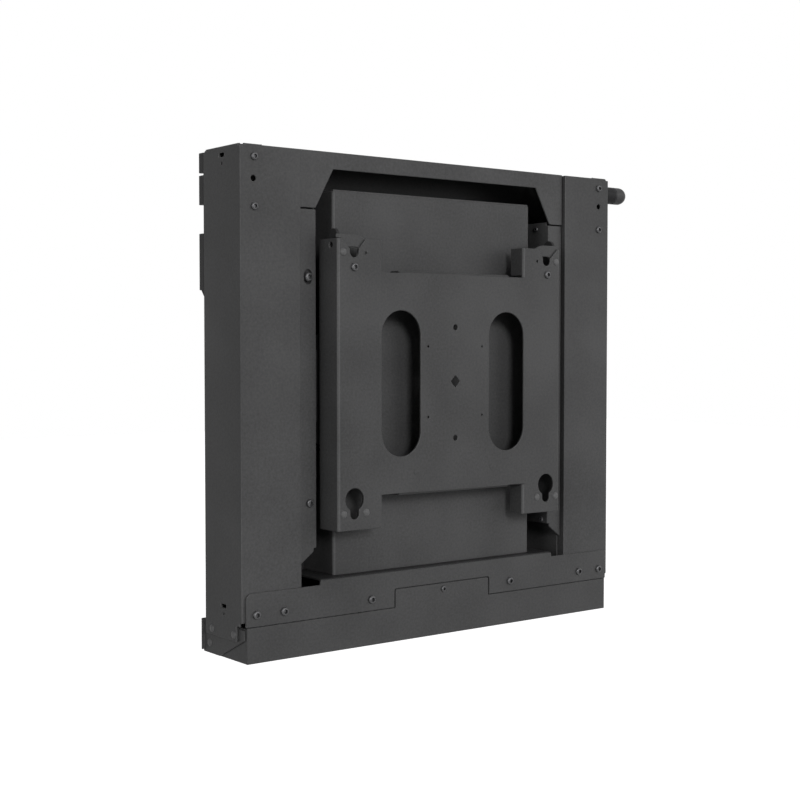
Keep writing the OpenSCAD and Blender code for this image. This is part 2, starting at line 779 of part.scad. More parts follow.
// Limit switches: two microswitches beside the beam's path
module limit_switches() color(black_plastic) {
    zs = [beam_half_z + travel_up + 8, -beam_half_z - travel_down - 8 - switch_h];
    for (z = zs) {
        block([switch_x, y_panel - switch_d, z], [switch_x + switch_w, y_panel, z + switch_h]);
        rod_along_y(switch_x + 0.7 * switch_w, z + switch_h / 2, y_panel - switch_d - 2, y_panel - switch_d, 1.5);
    }
}

// Cable gland: the domed strain relief in the right-hand web
module cable_gland() color(black_plastic) {
    body = gland_len - 15;
    dome = gland_len - gland_d / 2;
    difference() {
        union() {
            rod_along_x(gland_y, gland_z, half_w - channel_t - 5, half_w, gland_thread_d / 2);
            rod_along_x(gland_y, gland_z, half_w, half_w + body - 0.7, gland_d / 2);
            rod_along_x(gland_y, gland_z, half_w + body - 0.7, half_w + body, gland_d / 2 - 0.5);
            rod_along_x(gland_y, gland_z, half_w + body, half_w + dome, gland_d / 2);
            translate([half_w + dome, gland_y, gland_z]) sphere(gland_d / 2);
        }
        rod_along_x(gland_y, gland_z, half_w - channel_t - 6, half_w + gland_len + 1, 2.6);
    }
}

// Gland nut: the flat hexagon nut inside the web
module gland_nut() color(black_plastic) difference() {
    translate([half_w - channel_t - 3.5, gland_y, gland_z]) rotate([0, 90, 0]) cylinder(h = 3.5, r = 9, $fn = 6);
    rod_along_x(gland_y, gland_z, half_w - channel_t - 5, half_w, gland_thread_d / 2);
}

// Channel screws: two in each channel's face, into the backing plates
module channel_screws() color(coat_back) both_sides() for (z = channel_screw_zs)
    screw_y(channel_screw_x, z, y_front, 6, 3.3 - 2 * hole_gap, 5);

// Strip screws: two through each strip's face and two through its wall
module strip_screws() color(coat_back) both_sides() {
    screw_y(strip_screw_x + 0.4, rod_block_top, y_strip, 7.2, 3, 8);
    screw_y(strip_screw_x - 0.5, rod_block_low, y_strip, 6.5, 3, 1.4);
    for (p = [[y_front + 18.8, z_strip_top - 2.4], [y_front + 10.9, z_strip_low + 15.3]])
        translate([strip_in, p[0], p[1]]) rotate(-90) screw_y(0, 0, 0, 4.5, 3, 3);
}

// Cover screws: seven in the cover and the tray's tab
module cover_screws() color(coat_back) {
    both_sides() for (x = cover_screw_xs) screw_y(x, cover_screw_z, y_cover, 6.6, 3, 5);
    screw_y(0, tab_screw_z, y_cover, 5, 3, 4);
}

// End rivets: they join the channel webs, the end plates and the tray
module end_rivets() color(coat_back) both_sides() {
    for (p = end_rivets_web) rivet_x(p[0], p[1], half_w, 3, 1.85, channel_t + end_plate_t + 0.1);
    rivet_x(end_rivet_tray[0], end_rivet_tray[1], half_w - channel_t, 3, 1.85, end_plate_t + panel_t + 0.8);
}

// Half of the bracket's holes: slots, keyhole, window and small holes
module bracket_holes() {
    neck = stud_d / 2;
    // open slot with its funnel
    translate([vesa_half, vesa_half]) circle(neck);
    area([vesa_half - neck, vesa_half], [vesa_half + neck, vesa_half + 4]);
    polygon([
        [vesa_half - neck, vesa_half + 2.4], [vesa_half + neck, vesa_half + 2.4],
        [vesa_half + neck + 1.6, vesa_half + 3.4], [vesa_half + neck + 8.5, ear_top + 0.1],
        [vesa_half + neck + 8.5, ear_top + 1], [vesa_half - neck - 6.5, ear_top + 1],
        [vesa_half - neck - 6.5, ear_top + 0.1]
    ]);
    // keyhole
    translate([vesa_half, -vesa_half]) circle(neck);
    area([vesa_half - neck, -vesa_half], [vesa_half + neck, 11 - vesa_half]);
    translate([vesa_half, 11 - vesa_half]) circle(d = bulb_d);
    translate([window_x, -0.9]) tall_slot(window_w, window_h);
    translate([vesa_half - rivet_dx, rivet_z]) circle(1.1);
    translate([pivot_x, pivot_z]) circle(d = pivot_d);
    for (p = [[rivet_dx, rivet_z], [rivet_dx, -rivet_z], [-rivet_dx, -rivet_z]])
        translate([vesa_half + p[0], p[1]]) circle(2);
    for (z = [-28, 28]) translate([28, z]) circle(0.95);
}

// TV bracket: one sheet with four ears, folded sides, open slots above and keyholes below
module tv_bracket() color(coat) {
    mid_y = y_bracket + bracket_t / 2;
    flange_end = y_bracket + flange_depth;
    flange_x = bracket_half - bracket_t / 2;
    difference() {
        union() {
            upright(web_low + 1.6, web_top - 1.6) bent_sheet(
                [[-flange_x, flange_end], [-flange_x, mid_y], [flange_x, mid_y], [flange_x, flange_end]],
                bracket_t, bend_in
            );
            for (z = [[ear_low, web_low + 1.6], [web_top - 1.6, ear_top]]) both_sides() upright(z[0], z[1]) bent_sheet([
                [ear_in + bracket_t / 2, y_sheet + ear_flange], [ear_in + bracket_t / 2, mid_y],
                [flange_x, mid_y], [flange_x, flange_end]
            ], bracket_t, bend_in);
            for (s = [-1, 1]) {
                edge = s > 0 ? web_top : -web_low;
                mirror([0, 0, s > 0 ? 0 : 1]) side_plate(-web_flange_half, 2 * web_flange_half) bent_sheet([
                    [mid_y, edge - 6], [mid_y, edge - bracket_t / 2],
                    [mid_y + web_flange_depth, edge - bracket_t / 2]
                ], bracket_t, bend_in);
            }
        }
        both_sides() front_plate(y_bracket - 1, bracket_t + 2) bracket_holes();
        both_sides() rod_along_x(y_bracket + 9.7, ear_top - 4.8, side_out - 1, bracket_half + 1, 2.25);
        for (z = [vesa_half * 0.434, -vesa_half * 0.455]) rod_along_y(0, z, y_bracket - 1, y_sheet + 1, 2.25);
        translate([0, y_sheet + 1, 0]) rotate([90, 45, 0]) translate([0, 0, (bracket_t + 2) / 2])
            cube([6.9, 6.9, bracket_t + 2], center = true);
    }
}

// Keyhole backers: stiffening plates riveted behind the lower ears
module keyhole_backers() color(coat_back) both_sides() {
    difference() {
        front_plate(y_sheet, 1.5)
            round_area([vesa_half - 15, ear_low + 2], [side_out - 0.8, web_low + 12], 2);
        front_plate(y_sheet - 1, 3.5) {
            translate([vesa_half, -vesa_half]) circle(stud_d / 2 + 0.6);
            area([vesa_half - stud_d / 2 - 0.6, -vesa_half], [vesa_half + stud_d / 2 + 0.6, 11 - vesa_half]);
            translate([vesa_half, 11 - vesa_half]) circle(d = bulb_d + 1.2);
            for (s = [-1, 1]) translate([vesa_half + s * rivet_dx, -rivet_z]) circle(2);
        }
    }
}

// Carriage plate: the upright side plate inside a bracket flange, with its round horn
module carriage_plate() {
    front = y_sheet + 0.6;
    plate_low = web_low + 14;
    difference() {
        side_plate(side_in, side_t) {
            difference() {
                polygon([
                    [front, plate_low], [horn_y + horn_r, plate_low], [horn_y + horn_r, slide_low - 12],
                    [drive_y + 10, slide_low], [drive_y + 10, slide_top], [horn_y + horn_r, slide_top + 12],
                    [horn_y + horn_r, horn_top - horn_r], [horn_y - horn_r, horn_top - horn_r],
                    [horn_y - horn_r, web_top - 3], [front, web_top - 3]
                ]);
                for (z = [-24, 24]) translate([(horn_y + drive_y) / 2 - 4, z]) circle(4);
            }
            translate([horn_y, horn_top - horn_r]) circle(horn_r);
        }
        rod_along_x(y_bracket + 9.7, ear_top - 4.8, side_in - 1, side_out + 1, 2.25);
        for (z = [-18, 18]) rod_along_x(rod_y, z, side_in - 1, side_out + 1, 2.5);
    }
}

module left_carriage_plate() color(coat_back) mirror([1, 0, 0]) carriage_plate();

module right_carriage_plate() color(coat_back) carriage_plate();

// Carriage arms: they reach from the side plates through the strip walls to the slide blocks
module carriage_arms() color(coat_back) both_sides() difference() {
    block([side_out, rod_y - arm_half_y, arm_low], [slide_in, rod_y + arm_half_y, arm_top]);
    for (z = [-18, 18]) rod_along_x(rod_y, z, side_out - 1, slide_in + 1, 2.5);
}

// Slide blocks: bored blocks that run on the guide rods
module slide_blocks() color(steel) both_sides() difference() {
    upright(slide_low, slide_top) difference() {
        area([slide_in, rod_y - slide_half_y], [rod_x + slide_half_x + 2, rod_y + slide_half_y]);
        translate([rod_x, rod_y]) circle(bush_r);
    }
}

// Slide bushings: flanged bushings pressed into both ends of the slide blocks
module slide_bushings() color(bronze) both_sides() translate([rod_x, rod_y, 0]) difference() {
    union() {
        translate([0, 0, slide_top - bush_len]) cylinder(h = bush_len, r = bush_r);
        translate([0, 0, slide_top]) cylinder(h = bush_flange, r = bush_r + 1.5);
        translate([0, 0, slide_low]) cylinder(h = bush_len, r = bush_r);
        translate([0, 0, slide_low - bush_flange]) cylinder(h = bush_flange, r = bush_r + 1.5);
    }
    translate([0, 0, slide_low - 5]) cylinder(h = slide_top - slide_low + 10, r = rod_d / 2 + run_gap);
}

// Cross beam: joins both side plates through the centre box and carries the drive nut in its hub
module cross_beam() color(coat_back) difference() {
    union() {
        block([-side_in, drive_y - beam_half_y, -beam_half_z], [side_in, drive_y + beam_half_y, beam_half_z]);
        translate([0, drive_y, -beam_half_z]) cylinder(h = 2 * beam_half_z, r = nut_r + 4);
    }
    both_sides() block(
        [nut_flange_r + 4, drive_y - beam_half_y + 2, -beam_half_z + 3],
        [side_in - 6, drive_y + beam_half_y + 1, beam_half_z - 3]
    );
    translate([0, drive_y, -beam_half_z - 1]) cylinder(h = 2 * beam_half_z + 2, r = nut_r);
}

// Drive nut: the flanged bronze nut that the lead screw moves
module drive_nut() color(bronze) translate([0, drive_y, 0]) difference() {
    union() {
        translate([0, 0, beam_half_z]) cylinder(h = nut_flange_h, r = nut_flange_r);
        translate([0, 0, nut_low]) cylinder(h = beam_half_z - nut_low, r = nut_r);
    }
    translate([0, 0, nut_low - 1]) cylinder(h = beam_half_z - nut_low + nut_flange_h + 2, r = screw_d / 2 + run_gap);
}

// Carriage screws: they hold the arms to the side plates
module carriage_screws() color(zinc) both_sides() for (z = [-18, 18])
    translate([side_in, rod_y, z]) rotate(-90) screw_y(0, 0, 0, 8, 5 - 2 * hole_gap, side_t + 8);

// Pivot screws: the shouldered screws and nuts that the latches turn on
module pivot_screws() color(coat_back) both_sides() {
    screw_y(pivot_x, pivot_z, y_bracket, 6.4, pivot_d, bracket_t + latch_t + 2.9);
    translate([pivot_x, latch_y + latch_t + 2.7, pivot_z]) rotate([90, 0, 0]) difference() {
        cylinder(h = 2.5, r = pivot_d / 2 + 2, $fn = 6);
        translate([0, 0, -1]) cylinder(h = 5, d = pivot_d);
    }
}

// Bracket rivets: they hold the keyhole backers, and the upper two stop the latches
module bracket_rivets() color(coat_back) both_sides()
    for (p = [[rivet_dx, rivet_z], [rivet_dx, -rivet_z], [-rivet_dx, -rivet_z]])
        rivet_y(vesa_half + p[0], p[1], y_bracket, 3, 2 - hole_gap, bracket_t + 1.7);

// Latch: the fan that swings over an open slot and keeps the TV's screw in it
module latch() {
    reach = 60;
    front_plate(latch_y, latch_t) translate([pivot_x, pivot_z]) difference() {
        union() {
            circle(pivot_d / 2 + 4);
            intersection() {
                difference() {
                    circle(latch_r);
                    circle(latch_in_r);
                }
                polygon([
                    [0, 0], reach * [cos(latch_a0), sin(latch_a0)], reach * [cos(90), sin(90)],
                    reach * [cos(latch_a1), sin(latch_a1)]
                ]);
            }
            intersection() {
                circle(latch_in_r + 1);
                polygon([[0, 0], reach * [cos(112), sin(112)], reach * [cos(latch_a1), sin(latch_a1)]]);
            }
            area([3, ear_top + slide_gap - pivot_z], [bracket_half - pivot_x, latch_r]);
        }
        circle(pivot_d / 2 + run_gap);
        area([side_out - 2 * slide_gap - pivot_x, 0], [latch_r + 8, ear_top + slide_gap - pivot_z]);
    }
}

module left_latch() color(coat) mirror([1, 0, 0]) latch();

module right_latch() color(coat) latch();

// Half of a tooth's angle at radius r, from the involute of its base circle
function involute(a) = tan(a) * 180 / PI - a;
function tooth_half(teeth, r) =
    let (pitch_r = teeth * gear_module / 2, base_r = pitch_r * cos(pressure_angle))
    90 / teeth - backlash / (4 * pitch_r) * 180 / PI + involute(pressure_angle) - involute(acos(min(1, base_r / r)));

// The outline of a spur gear with involute teeth
module gear_outline(teeth) {
    pitch_r = teeth * gear_module / 2;
    root_r = pitch_r - 1.25 * gear_module;
    tip_r = pitch_r + gear_module;
    start_r = max(root_r, pitch_r * cos(pressure_angle));
    steps = 4;
    radii = [for (i = [0:steps]) start_r + (tip_r - start_r) * i / steps];
    right = [for (r = radii) [r, -tooth_half(teeth, r)]];
    left = [for (i = [steps:-1:0]) [radii[i], tooth_half(teeth, radii[i])]];
    tooth = concat([[root_r, -tooth_half(teeth, start_r)]], right, left, [[root_r, tooth_half(teeth, start_r)]]);
    polygon([for (k = [0:teeth - 1]) for (p = tooth) p[0] * [cos(p[1] + k * 360 / teeth), sin(p[1] + k * 360 / teeth)]]);
}

// Lead screw: turns in its two bearings and moves the drive nut
module lead_screw() color(steel) translate([0, drive_y, screw_low + 0.5]) {
    cylinder(h = screw_top_block + bearing_h - screw_low - 1, d = screw_d);
}

// Screw gear: the large spur gear fixed on the lead screw
module screw_gear() color(black_plastic) translate([0, drive_y, gear_low]) linear_extrude(gear_h) difference() {
    gear_outline(gear_teeth);
    circle(d = screw_d);
    for (a = [0:60:300]) rotate(a) translate([(screw_d / 2 + gear_teeth / 2) / 2, 0]) circle(2.2);
}

// Motor pinion: the small spur gear on the gearbox's shaft
module motor_pinion() color(steel) translate([gear_distance, drive_y, gear_low]) {
    linear_extrude(gear_h) rotate(180 / pinion_teeth + 180) gear_outline(pinion_teeth);
    translate([0, 0, gearbox_top - gear_low + 0.2]) cylinder(h = gear_low - gearbox_top, r = pinion_bore);
}

wall_plate();
wall_spacers();
hanger_screws();
back_panel();
left_channel();
right_channel();
left_backing_plate();
right_backing_plate();
header();
left_strip();
right_strip();
base_shelf();
bottom_cover();
bottom_tray();
left_end_plate();
right_end_plate();
centre_box();
guide_rods();
rod_blocks();
rod_bumpers();
screw_bearing_blocks();
screw_bearings();
motor();
motor_gearbox();
motor_bracket();
control_board();
board_standoffs();
power_supply();
limit_switches();
cable_gland();
gland_nut();
channel_screws();
strip_screws();
cover_screws();
end_rivets();
tv_bracket();
keyhole_backers();
left_carriage_plate();
right_carriage_plate();
carriage_arms();
slide_blocks();
slide_bushings();
cross_beam();
drive_nut();
carriage_screws();
pivot_screws();
bracket_rivets();
left_latch();
right_latch();
lead_screw();
screw_gear();
motor_pinion();
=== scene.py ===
import json
import math

import bmesh
import bpy
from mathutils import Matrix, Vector
from mathutils.bvhtree import BVHTree


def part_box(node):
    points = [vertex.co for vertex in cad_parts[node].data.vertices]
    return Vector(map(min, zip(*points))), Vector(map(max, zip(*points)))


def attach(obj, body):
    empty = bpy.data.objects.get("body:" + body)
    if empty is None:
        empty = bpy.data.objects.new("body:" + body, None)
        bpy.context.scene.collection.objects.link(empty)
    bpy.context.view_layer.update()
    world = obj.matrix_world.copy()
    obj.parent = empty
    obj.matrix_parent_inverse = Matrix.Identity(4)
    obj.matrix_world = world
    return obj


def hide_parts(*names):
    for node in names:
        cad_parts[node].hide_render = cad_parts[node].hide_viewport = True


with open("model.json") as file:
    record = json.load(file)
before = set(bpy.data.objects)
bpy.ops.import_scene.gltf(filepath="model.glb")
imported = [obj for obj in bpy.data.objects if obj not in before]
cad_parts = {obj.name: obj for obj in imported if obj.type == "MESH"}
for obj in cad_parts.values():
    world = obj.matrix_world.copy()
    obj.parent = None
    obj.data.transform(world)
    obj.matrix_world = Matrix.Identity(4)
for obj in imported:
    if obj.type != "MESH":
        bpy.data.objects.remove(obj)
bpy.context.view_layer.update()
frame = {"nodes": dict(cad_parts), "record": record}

# Wall plate
# A flat steel plate with folded side tabs, cut from 2.5 mm sheet and powder coated. Its darker
# grey is painted shade. It is bolted to the wall through four long slots, and the frame is then
# screwed to it.

MM = 0.001
WELD = 2e-6
EDGE_ANGLE = 34
NOISE_LOW, NOISE_HIGH = 0.3, 0.7
body_of_node = {
    node: body for body, nodes in frame["record"]["behaviour"]["bodies"].items() for node in nodes
}


def add(tree, kind, inputs=None, **settings):
    """A node of that kind, with its settings, and with values or links on its inputs."""
    node = tree.nodes.new(kind)
    for key, value in settings.items():
        setattr(node, key, value)
    for key, value in (inputs or {}).items():
        if isinstance(value, bpy.types.NodeSocket):
            tree.links.new(value, node.inputs[key])
        else:
            node.inputs[key].default_value = value
    return node


def calculated(tree, operation, a, b=0.0):
    """The result of one operation on two values."""
    return add(tree, "ShaderNodeMath", {0: a, 1: b}, operation=operation).outputs[0]


def spread(tree, value, low, high, to_low, to_high):
    """A value from one range to another."""
    return add(tree, "ShaderNodeMapRange", {
        0: value, 1: low, 2: high, 3: to_low, 4: to_high,
    }).outputs[0]


def noise(tree, place, scale, detail=2.0, roughness=0.5):
    """A noise value over the object's own coordinates."""
    return add(tree, "ShaderNodeTexNoise", {
        "Vector": place, "Scale": scale, "Detail": detail, "Roughness": roughness,
    }).outputs[0]


def from_noise(tree, value, to_low=0.0, to_high=1.0):
    """The range that a noise value mostly keeps to, spread between two numbers."""
    return spread(tree, value, NOISE_LOW, NOISE_HIGH, to_low, to_high)


def new_finish(name, roughness, metal=0.0, specular=0.5):
    """An empty finish with its plain numbers on the shader's own sockets."""
    finish = bpy.data.materials.new(name)
    finish.use_nodes = True
    tree = finish.node_tree
    shader = tree.nodes["Principled BSDF"]
    shader.inputs["Metallic"].default_value = metal
    shader.inputs["Roughness"].default_value = roughness
    shader.inputs["Specular IOR Level"].default_value = specular
    place = add(tree, "ShaderNodeTexCoord").outputs["Object"]
    return finish, tree, shader, place


def two_tone(tree, shader, factor, dark, light):
    """Gives the shader a colour between a dark and a light one."""
    mix = add(tree, "ShaderNodeMix", {0: factor, 6: (*dark, 1), 7: (*light, 1)}, data_type="RGBA")
    tree.links.new(mix.outputs[2], shader.inputs["Base Color"])


def uneven_gloss(tree, shader, value, low, high):
    """Lets the roughness follow a noise value between two numbers."""
    tree.links.new(from_noise(tree, value, low, high), shader.inputs["Roughness"])


def skin(tree, shader, height, strength, distance):
    """Gives the shader a fine relief on the surface."""
    bump = add(tree, "ShaderNodeBump", {
        "Height": height, "Strength": strength, "Distance": distance,
    })
    tree.links.new(bump.outputs[0], shader.inputs["Normal"])


def powder_coat(name, colour, specular, mottle=0.16):
    """Sprayed and baked powder: matt, with a fine orange-peel skin and faint mottling."""
    finish, tree, shader, place = new_finish(name, 0.4, specular=specular)
    cloud = noise(tree, place, 520.0, 3.0, 0.65)
    grain = noise(tree, place, 1300.0, 2.0, 0.55)
    drift = noise(tree, place, 14.0, 2.0)
    factor = spread(tree, calculated(tree, "ADD", cloud, drift), 0.72, 1.28, 0.0, 1.0)
    dark = [c * (1 - mottle) for c in colour]
    light = [c * (1 + mottle) for c in colour]
    two_tone(tree, shader, factor, dark, light)
    uneven_gloss(tree, shader, cloud, 0.34, 0.44)
    skin(tree, shader, calculated(tree, "ADD", grain, cloud), 0.3, 0.0001)
    return finish


def new_object(name, data):
    """An object with this data in the scene, at the origin."""
    made = bpy.data.objects.new(name, data)
    bpy.context.scene.collection.objects.link(made)
    return made


def mesh_from(bm, name):
    """A mesh of what was built in bmesh."""
    mesh = bpy.data.meshes.new(name)
    bm.to_mesh(mesh)
    bm.free()
    return mesh


def add_box(bm, low, high):
    """A box between two corners, in mm."""
    for corner in bmesh.ops.create_cube(bm, size=1.0)["verts"]:
        corner.co = [MM * (b if c > 0 else a) for c, a, b in zip(corner.co, low, high)]


def apply_modifiers(piece):
    """Makes what the modifiers give the piece's own mesh."""
    depsgraph = bpy.context.evaluated_depsgraph_get()
    done = bpy.data.meshes.new_from_object(piece.evaluated_get(depsgraph))
    done.name = piece.name
    piece.modifiers.clear()
    piece.data = done


def shade(piece, angle):
    """Smooth shading, with a crease where faces meet at more than this angle, in degrees."""
    piece.data.shade_smooth()
    piece.data.set_sharp_from_angle(angle=math.radians(angle))


def keep_faces_flat(piece):
    """Makes the small faces on the edges shade towards the large flat ones beside them."""
    piece.modifiers.new("flat faces", "WEIGHTED_NORMAL").keep_sharp = True
    apply_modifiers(piece)


def settle(piece, finish, body, nodes=()):
    """Gives a piece its finish, its body and the nodes that it stands for."""
    piece.data.materials.clear()
    piece.data.materials.append(finish)
    for face in piece.data.polygons:
        face.material_index = 0
    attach(piece, body)
    if nodes:
        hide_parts(*nodes)
    return piece


def relieved(piece, cuts):
    """Takes these boxes, in mm, out of a piece, as the relief cuts beside its bends."""
    bm = bmesh.new()
    for low, high in cuts:
        add_box(bm, low, high)
    cutter = new_object("relief cuts", mesh_from(bm, "relief cuts"))
    cut = piece.modifiers.new("relief cuts", "BOOLEAN")
    cut.operation = "DIFFERENCE"
    cut.solver = "EXACT"
    cut.use_self = True
    cut.object = cutter
    apply_modifiers(piece)
    bpy.data.objects.remove(cutter)
    shade(piece, EDGE_ANGLE)
    keep_faces_flat(piece)


def deburred(name, node, finish, edge=0.45, parts=3, cuts=()):
    """A node's solid as a piece, its edges rounded by this many mm as deburring leaves them."""
    bm = bmesh.new()
    bm.from_mesh(frame["nodes"][node].data)
    bmesh.ops.remove_doubles(bm, verts=bm.verts, dist=WELD)
    solid = BVHTree.FromBMesh(bm)
    piece = new_object(name, mesh_from(bm, name))
    shade(piece, EDGE_ANGLE)
    bevel = piece.modifiers.new("deburred edges", "BEVEL")
    bevel.width = edge * MM
    bevel.segments = parts
    bevel.limit_method = "ANGLE"
    bevel.angle_limit = math.radians(EDGE_ANGLE)
    bevel.use_clamp_overlap = False
    bevel.loop_slide = False
    keep_faces_flat(piece)
    # A corner that the rounding throws outwards goes back to the solid.
    for vertex in piece.data.vertices:
        near, _, _, away = solid.find_nearest(vertex.co)
        if away > 0.5 * edge * MM:
            vertex.co = near
    if cuts:
        relieved(piece, cuts)
    return settle(piece, finish, body_of_node[node], [node])


grey_coat = powder_coat("grey powder coat", (0.0606, 0.0606, 0.0612), 0.06, 0.2)
# A darker coat that paints the shade of the recesses on the back panel, shelf and inner parts.
recess_shade_coat = powder_coat("powder coat darkened as painted shade", (0.028, 0.028, 0.0285), 0.06)

deburred("wall_plate_sheet", "wall_plate", recess_shade_coat)

# Spacers and hanger screws
# Four turned zinc-plated steel bosses hold the frame off the wall plate. Button-head screws are
# driven into them from inside the channels, and the same pattern of screw serves all over.

FRONT, BACK, OUTWARDS, INWARDS = (0, -1, 0), (0, 1, 0), (1, 0, 0), (-1, 0, 0)
FASTENER_ANGLE = 30
SHANK_MIDDLE = -0.48
HANGER_X, HANGER_Y = 179, -10.1


def plated(name, tint, roughness):
    """Bright zinc plating, a little cloudy."""
    finish, tree, shader, place = new_finish(name, roughness, metal=1.0)
    cloud = noise(tree, place, 420.0, 3.0)
    two_tone(tree, shader, from_noise(tree, cloud), [c * 0.82 for c in tint], tint)
    uneven_gloss(tree, shader, cloud, roughness - 0.06, roughness + 0.08)
    skin(tree, shader, noise(tree, place, 1500.0), 0.2, 0.00004)
    return finish


def head_inputs(tree):
    """The tree's inputs by name. The sizes are shares of the head's width."""
    face = tree.interface
    face.new_socket("Geometry", in_out="INPUT", socket_type="NodeSocketGeometry")
    for label, value in (("Head Height", 0.32), ("Socket Width", 0.5), ("Socket Depth", 0.29)):
        size = face.new_socket(label, in_out="INPUT", socket_type="NodeSocketFloat")
        size.default_value = value
    face.new_socket("Finish", in_out="INPUT", socket_type="NodeSocketMaterial")
    face.new_socket("Geometry", in_out="OUTPUT", socket_type="NodeSocketGeometry")
    return add(tree, "NodeGroupInput").outputs


def drawn_out(tree, mesh, offset, top=None):
    """The mesh with its faces, or only its top, drawn out, and the selection of the new top."""
    drawn = add(tree, "GeometryNodeExtrudeMesh", {
        "Mesh": mesh, "Offset Scale": offset, "Individual": False,
    }, mode="FACES")
    if top is not None:
        tree.links.new(top, drawn.inputs["Selection"])
    return drawn.outputs["Mesh"], drawn.outputs["Top"]


def turned_head(tree, disc, height, rings):
    """A disc drawn out into a round head. Each ring is a height and a radius, as shares."""
    head, top = disc, None
    low, wide = 0.0, 1.0
    for ring_height, ring_radius in rings:
        rise = calculated(tree, "MULTIPLY", height, ring_height - low)
        head, top = drawn_out(tree, head, rise, top)
        head = add(tree, "GeometryNodeScaleElements", {
            "Geometry": head, "Selection": top, "Scale": ring_radius / wide,
        }, domain="FACE").outputs[0]
        low, wide = ring_height, ring_radius
    return head, top


def hexagon_socket(tree, head, top, width, depth):
    """The head with a hexagonal hole: the inner rim is moved out to six sides and sunk."""
    rim, top = drawn_out(tree, head, 0.0, top)
    place = add(tree, "GeometryNodeInputPosition").outputs[0]
    x, y, z = add(tree, "ShaderNodeSeparateXYZ", {0: place}).outputs
    turn = calculated(tree, "ARCTAN2", y, x)
    sixth = math.pi / 3
    ahead = calculated(tree, "ADD", turn, 2 * math.pi + sixth / 2)
    wave = calculated(tree, "SUBTRACT", calculated(tree, "MODULO", ahead, sixth), sixth / 2)
    half_width = calculated(tree, "MULTIPLY", width, 0.5)
    reach = calculated(tree, "DIVIDE", half_width, calculated(tree, "COSINE", wave))
    corner = add(tree, "ShaderNodeCombineXYZ", {
        0: calculated(tree, "MULTIPLY", reach, calculated(tree, "COSINE", turn)),
        1: calculated(tree, "MULTIPLY", reach, calculated(tree, "SINE", turn)),
        2: z,
    }).outputs[0]
    hexed = add(tree, "GeometryNodeSetPosition", {
        "Geometry": rim, "Selection": top, "Position": corner,
    }).outputs[0]
    return drawn_out(tree, hexed, calculated(tree, "MULTIPLY", depth, -1.0), top)[0]


def joined(tree, *meshes):
    """These meshes as one."""
    whole = add(tree, "GeometryNodeJoinGeometry")
    for mesh in meshes:
        tree.links.new(mesh, whole.inputs[0])
    return whole.outputs[0]


def point_value(tree, label, kind="FLOAT"):
    """A value that each point carries."""
    return add(tree, "GeometryNodeInputNamedAttribute", {"Name": label},
               data_type=kind).outputs["Attribute"]


def on_points(tree, points, what, turned, *scale):
    """One copy of a mesh on each point, turned and sized."""
    sized = add(tree, "ShaderNodeCombineXYZ", dict(enumerate(scale))).outputs[0]
    return add(tree, "GeometryNodeInstanceOnPoints", {
        "Points": points, "Instance": what, "Rotation": turned, "Scale": sized,
    }).outputs[0]


def head_tree(name, rings, socket, corners=24):
    """Heads and shanks on points. Each point carries its axis, head, shank and length."""
    tree = bpy.data.node_groups.new(name, "GeometryNodeTree")
    given = head_inputs(tree)
    disc = add(tree, "GeometryNodeMeshCircle", {"Vertices": corners, "Radius": 0.5},
               fill_type="NGON").outputs[0]
    head, top = turned_head(tree, disc, given["Head Height"], rings)
    if socket:
        head = hexagon_socket(tree, head, top, given["Socket Width"], given["Socket Depth"])
    under = add(tree, "GeometryNodeFlipFaces", {"Mesh": disc}).outputs[0]
    closed = add(tree, "GeometryNodeMergeByDistance", {
        "Geometry": joined(tree, head, under), "Distance": 1e-4,
    }).outputs[0]
    rod = add(tree, "GeometryNodeMeshCylinder", {
        "Vertices": 16, "Radius": 0.5, "Depth": 1.0,
    }).outputs["Mesh"]
    shank = add(tree, "GeometryNodeTransform", {
        "Geometry": rod, "Translation": (0, 0, SHANK_MIDDLE),
    }).outputs[0]
    turned = add(tree, "FunctionNodeAlignRotationToVector", {
        "Vector": point_value(tree, "axis", "FLOAT_VECTOR"),
    }, axis="Z").outputs[0]
    wide, thick, long = (point_value(tree, label) for label in ("head", "shank", "length"))
    heads = on_points(tree, given["Geometry"], closed, turned, wide, wide, wide)
    shanks = on_points(tree, given["Geometry"], shank, turned, thick, thick, long)
    real = add(tree, "GeometryNodeRealizeInstances", {0: joined(tree, heads, shanks)}).outputs[0]
    coated = add(tree, "GeometryNodeSetMaterial", {
        "Geometry": real, "Material": given["Finish"],
    }).outputs[0]
    add(tree, "NodeGroupOutput", {0: coated})
    return tree


def paired(places, axis, *sizes):
    """Rows for these seats and their mirror images on the left: seat, axis and sizes, in mm."""
    return [
        ((side * x, y, z), (side * axis[0], axis[1], axis[2]), *sizes)
        for x, y, z in places for side in (1, -1)
    ]


def fastened(name, tree, rows, finish, nodes, height=0.32, stands_for=True):
    """Fasteners of one body. A row is a seat, an axis, and head, shank and length in mm."""
    mesh = bpy.data.meshes.new(name)
    mesh.from_pydata([Vector(row[0]) * MM for row in rows], [], [])
    axis = mesh.attributes.new("axis", "FLOAT_VECTOR", "POINT")
    axis.data.foreach_set("vector", [v for row in rows for v in row[1]])
    for column, label in enumerate(("head", "shank", "length"), 2):
        values = mesh.attributes.new(label, "FLOAT", "POINT")
        values.data.foreach_set("value", [row[column] * MM for row in rows])
    piece = new_object(name, mesh)
    made = piece.modifiers.new("fasteners", "NODES")
    made.node_group = tree
    sockets = tree.interface.items_tree
    keys = {item.name: item.identifier for item in sockets if item.in_out == "INPUT"}
    made[keys["Head Height"]] = height
    made[keys["Finish"]] = finish
    apply_modifiers(piece)
    shade(piece, FASTENER_ANGLE)
    return settle(piece, finish, body_of_node[nodes[0]], nodes if stands_for else ())


zinc = plated("zinc plating", (0.62, 0.63, 0.65), 0.34)
button_rings = ((0.34, 1.0), (0.66, 0.93), (0.88, 0.8), (1.0, 0.6))
button_screws = head_tree("button head screws", button_rings, True)

